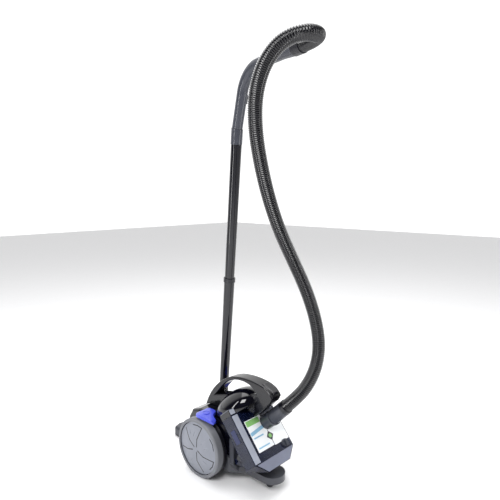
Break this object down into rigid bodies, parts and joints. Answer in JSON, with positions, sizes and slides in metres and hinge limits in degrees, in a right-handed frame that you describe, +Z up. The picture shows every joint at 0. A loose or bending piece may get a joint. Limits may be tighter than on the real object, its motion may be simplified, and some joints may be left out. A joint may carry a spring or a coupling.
{
  "type": "canister_vacuum_cleaner",
  "caption": "Bagless canister vacuum cleaner with a leaning clear dust bin, arched handle, ribbed hose, bent grip, two-piece wand and floor head",
  "frame": {"origin": "On the floor, under the middle of the rear axle", "axes": "+Z up, the nose of the canister points to -Y, +X is the side of the hose inlet and of the wand"},
  "size_m": [0.4145, 0.6616, 1.2403],
  "materials": {
    "dark_plastic": "dark moulded plastic, faint grain",
    "tyre_grey": "grey soft tread, fine grain",
    "wheel_grey": "bluish grey satin plastic with darker grooves",
    "steel": "plain turned steel",
    "chassis_grey": "mid grey satin moulded plastic",
    "gloss_black": "polished near-black plastic",
    "handle_black": "near-black plastic, light satin",
    "bin_clear": "smoky blue clear moulding",
    "navy_plastic": "navy cyclone mouldings",
    "rubber_black": "soft black rubber",
    "cuff_grey": "satin grey plastic",
    "hose_black": "semi-gloss ribbed plastic",
    "tube_black": "polished black tube",
    "bristle": "short dense bristles",
    "pedal_blue": "saturated blue plastic",
    "aluminium": "pressed fan wheel",
    "filter_foam": "open-cell filter foam"
  },
  "bodies": {
    "root": {"chassis_base": "chassis_grey", "body_shell": "gloss_black", "stub_axles": "steel", "motor_casing": "dark_plastic", "motor_stator": "steel", "motor_bearings": "steel", "motor_mounts": "rubber_black", "reel_spring_case": "steel", "reel_bracket": "dark_plastic", "cord_outlet_bush": "rubber_black", "pre_motor_filter": "filter_foam", "filter_frame": "dark_plastic", "exhaust_filter": "filter_foam", "exhaust_grille": "dark_plastic", "power_spring": "steel", "rewind_spring": "steel", "power_switch": "dark_plastic", "rewind_brake": "dark_plastic", "hose_cuff": "cuff_grey", "suction_hose": "hose_black"},
    "wheel_left_body": {"wheel_left": "dark_plastic", "tyre_left": "tyre_grey", "hub_cover_left": "wheel_grey"},
    "wheel_right_body": {"wheel_right": "dark_plastic", "tyre_right": "tyre_grey", "hub_cover_right": "wheel_grey"},
    "caster": {"caster_fork": "dark_plastic", "caster_pin": "steel"},
    "caster_roller": {"caster_wheel": "dark_plastic"},
    "power_pedal_body": {"power_pedal": "pedal_blue"},
    "rewind_pedal_body": {"rewind_pedal": "pedal_blue"},
    "dust_bin": {"bin_body": "bin_clear", "inlet_elbow": "cuff_grey"},
    "knob": {"bin_knob": "cuff_grey"},
    "lid": {"bin_lid": "gloss_black", "lid_gasket": "rubber_black", "carry_handle": "handle_black", "cyclone_cone": "navy_plastic", "mesh_shroud": "navy_plastic", "release_spring": "steel"},
    "release": {"release_button": "gloss_black"},
    "motor": {"motor_rotor": "steel", "motor_fan": "aluminium"},
    "reel": {"cord_reel": "dark_plastic"},
    "cuff_swivel": {"cuff_ring": "dark_plastic"},
    "wand": {"wand_lower": "tube_black", "wand_upper": "tube_black", "wand_joint_ring": "dark_plastic", "grip_collar": "cuff_grey", "handle_grip": "cuff_grey"},
    "grip_swivel": {"hose_swivel": "dark_plastic"},
    "regulator": {"suction_regulator": "cuff_grey"},
    "neck": {"head_neck": "chassis_grey"},
    "floor_head": {"head_body": "chassis_grey", "head_sole": "dark_plastic", "brush_strips": "bristle", "head_pins": "steel"},
    "roller_left": {"head_roller_left": "rubber_black"},
    "roller_right": {"head_roller_right": "rubber_black"},
    "rocker": {"head_pedal": "dark_plastic"}
  },
  "joints": [
    {"name": "wheel_left_spin", "type": "hinge", "parent": "root", "child": "wheel_left_body", "pos_m": [-0.094, 0, 0.09], "axis": [1, 0, 0], "continuous": true},
    {"name": "wheel_right_spin", "type": "hinge", "parent": "root", "child": "wheel_right_body", "pos_m": [0.094, 0, 0.09], "axis": [1, 0, 0], "continuous": true},
    {"name": "caster_swivel", "type": "hinge", "parent": "root", "child": "caster", "pos_m": [0, -0.2, 0.04], "axis": [0, 0, 1], "continuous": true},
    {"name": "caster_roll", "type": "hinge", "parent": "caster", "child": "caster_roller", "pos_m": [0, -0.193, 0.014], "axis": [1, 0, 0], "continuous": true},
    {"name": "power_pedal_press", "type": "slide", "parent": "root", "child": "power_pedal_body", "axis": [0, 0, -1], "range_m": [0, 0.0025], "stiffness_N_per_m": 900, "springref_m": -0.002, "deforming": ["power_spring"]},
    {"name": "rewind_pedal_press", "type": "slide", "parent": "root", "child": "rewind_pedal_body", "axis": [0, 0, -1], "range_m": [0, 0.0025], "stiffness_N_per_m": 900, "springref_m": -0.002, "deforming": ["rewind_spring"]},
    {"name": "bin_lift", "type": "slide", "parent": "root", "child": "dust_bin", "axis": [0, 0.6428, 0.766], "range_m": [0, 0.005]},
    {"name": "knob_turn", "type": "hinge", "parent": "dust_bin", "child": "knob", "pos_m": [0.052, -0.203, 0.11672], "axis": [0, -0.766, 0.6428], "range_deg": [0, 90]},
    {"name": "lid_off", "type": "slide", "parent": "dust_bin", "child": "lid", "axis": [0, 0.6428, 0.766], "range_m": [0, 0.005]},
    {"name": "release_press", "type": "slide", "parent": "lid", "child": "release", "axis": [0, 0.38, -0.925], "range_m": [0, 0.004], "stiffness_N_per_m": 600, "springref_m": -0.002},
    {"name": "motor_spin", "type": "hinge", "parent": "root", "child": "motor", "pos_m": [0.01, 0.02, 0.1], "axis": [1, 0, 0], "continuous": true},
    {"name": "reel_spin", "type": "hinge", "parent": "root", "child": "reel", "pos_m": [-0.037, 0.025, 0.105], "axis": [1, 0, 0], "continuous": true},
    {"name": "cuff_turn", "type": "hinge", "parent": "root", "child": "cuff_swivel", "pos_m": [0.02964, -0.22456, 0.24274], "axis": [0.0829, -0.6942, 0.715], "continuous": true},
    {"name": "wand_lift", "type": "slide", "parent": "root", "child": "wand", "axis": [0, 0.1, 0.995], "range_m": [0, 0.15]},
    {"name": "grip_turn", "type": "hinge", "parent": "wand", "child": "grip_swivel", "pos_m": [0.00134, -0.26686, 1.21839], "axis": [-0.2006, -0.9792, 0.0315], "continuous": true},
    {"name": "regulator_slide", "type": "slide", "parent": "wand", "child": "regulator", "axis": [0.0822, 0.2891, -0.9538], "range_m": [0, 0.012]},
    {"name": "neck_swivel", "type": "hinge", "parent": "wand", "child": "neck", "pos_m": [0.112, 0.13, 0], "axis": [-0.0501, -0.1273, 0.9906], "range_deg": [-20, 20]},
    {"name": "head_tilt", "type": "hinge", "parent": "neck", "child": "floor_head", "pos_m": [0.11828, 0.13778, 0.026], "axis": [-0.7779, 0.6283, 0], "range_deg": [-25, 25]},
    {"name": "roller_left_spin", "type": "hinge", "parent": "floor_head", "child": "roller_left", "pos_m": [0.02738, 0.20349, 0.008], "axis": [-0.7779, 0.6283, 0], "continuous": true},
    {"name": "roller_right_spin", "type": "hinge", "parent": "floor_head", "child": "roller_right", "pos_m": [0.20164, 0.06274, 0.008], "axis": [-0.7779, 0.6283, 0], "continuous": true},
    {"name": "rocker_press", "type": "slide", "parent": "floor_head", "child": "rocker", "axis": [0, 0, -1], "range_m": [0, 0.0008], "stiffness_N_per_m": 800, "springref_m": -0.002}
  ]
}
